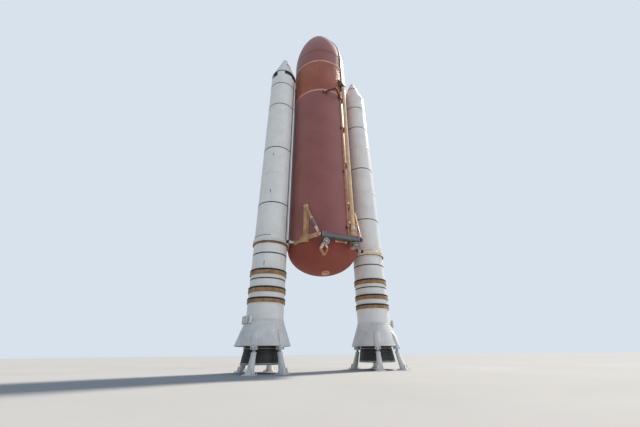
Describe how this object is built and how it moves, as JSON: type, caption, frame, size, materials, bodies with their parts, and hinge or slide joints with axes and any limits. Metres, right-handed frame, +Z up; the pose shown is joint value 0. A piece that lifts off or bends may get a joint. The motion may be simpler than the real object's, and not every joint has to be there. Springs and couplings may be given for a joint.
{
  "type": "tenth-size display stack of a spacecraft propellant tank with two solid rocket boosters",
  "caption": "Tall display stack: a rust-orange foam-covered propellant tank between white solid boosters with flared skirts and steerable nozzles, standing on posts. Scale 1:10.",
  "frame": {"origin": "on the floor, at the middle of the stack's bounding box; the tank's axis is 0.0559 m behind it, at x = 0", "axes": "+Z up, +X to the right seen from the side that carries the crossbeam, -Y out of that side"},
  "size_m": [1.806, 0.9687, 5.6863],
  "materials": {
    "tank_foam": "sprayed and lightly orange-peeled insulation foam, aged brown orange",
    "intertank_foam": "sprayed foam over upright stringers",
    "dome_foam": "sprayed foam, redder and darker",
    "closeout_foam": "poured and trimmed foam, pale orange",
    "tan_foam": "trimmed tan foam and primer",
    "nose_cone_composite": "moulded composite, satin",
    "white_paint": "weathered satin white paint on steel",
    "post_paint": "white paint on steel posts",
    "ablator": "trowelled tan ablator",
    "dark_steel": "slate grey painted steel",
    "fitting_aluminium": "dull machined aluminium",
    "nozzle_carbon": "wrapped carbon and glass phenolic",
    "curtain_fabric": "quilted heat-resistant cloth"
  },
  "bodies": {
    "stack": {"tank_nose_cone": "nose_cone_composite", "oxygen_tank": "tank_foam", "intertank": "intertank_foam", "hydrogen_tank": "tank_foam", "tank_aft_dome": "dome_foam", "aft_manhole_cover": "closeout_foam", "oxygen_feedline": "tan_foam", "feedline_fairing": "closeout_foam", "nose_cable_tray": "tan_foam", "aft_cable_tray": "tan_foam", "bipod": "closeout_foam", "aft_frame_left": "tan_foam", "aft_frame_right": "tan_foam", "crossbeam": "dark_steel", "umbilical_left": "fitting_aluminium", "umbilical_right": "fitting_aluminium", "hydrogen_feedline": "tan_foam", "thrust_fitting_left": "tan_foam", "thrust_fitting_right": "tan_foam", "aft_strut_front_left": "white_paint", "aft_strut_back_left": "white_paint", "left_nose_cap": "white_paint", "left_frustum": "white_paint", "left_forward_skirt": "white_paint", "left_forward_segment": "white_paint", "left_forward_center_segment": "white_paint", "left_aft_center_segment": "white_paint", "left_aft_segment": "white_paint", "left_systems_tunnel": "white_paint", "left_aft_skirt": "white_paint", "left_attach_ring": "ablator", "left_thermal_curtain": "curtain_fabric", "left_post_front_out": "post_paint", "left_post_front_in": "post_paint", "left_post_back_out": "post_paint", "left_post_back_in": "post_paint", "aft_strut_front_right": "white_paint", "aft_strut_back_right": "white_paint", "right_nose_cap": "white_paint", "right_frustum": "white_paint", "right_forward_skirt": "white_paint", "right_forward_segment": "white_paint", "right_forward_center_segment": "white_paint", "right_aft_center_segment": "white_paint", "right_aft_segment": "white_paint", "right_systems_tunnel": "white_paint", "right_aft_skirt": "white_paint", "right_attach_ring": "ablator", "right_thermal_curtain": "curtain_fabric", "right_post_front_out": "post_paint", "right_post_front_in": "post_paint", "right_post_back_out": "post_paint", "right_post_back_in": "post_paint"},
    "left_bearing": {"left_nozzle_bearing": "nozzle_carbon"},
    "left_nozzle": {"left_nozzle": "nozzle_carbon"},
    "right_bearing": {"right_nozzle_bearing": "nozzle_carbon"},
    "right_nozzle": {"right_nozzle": "nozzle_carbon"}
  },
  "joints": [
    {"name": "left_nozzle_rock", "type": "hinge", "parent": "stack", "child": "left_bearing", "pos_m": [-0.63627, 0.05588, 0.4445], "axis": [0.7071, 0.7071, 0], "range_deg": [-5, 5]},
    {"name": "left_nozzle_tilt", "type": "hinge", "parent": "left_bearing", "child": "left_nozzle", "pos_m": [-0.63627, 0.05588, 0.4445], "axis": [-0.7071, 0.7071, 0], "range_deg": [-5, 5]},
    {"name": "right_nozzle_rock", "type": "hinge", "parent": "stack", "child": "right_bearing", "pos_m": [0.63627, 0.05588, 0.4445], "axis": [0.7071, 0.7071, 0], "range_deg": [-5, 5]},
    {"name": "right_nozzle_tilt", "type": "hinge", "parent": "right_bearing", "child": "right_nozzle", "pos_m": [0.63627, 0.05588, 0.4445], "axis": [-0.7071, 0.7071, 0], "range_deg": [-5, 5]}
  ]
}
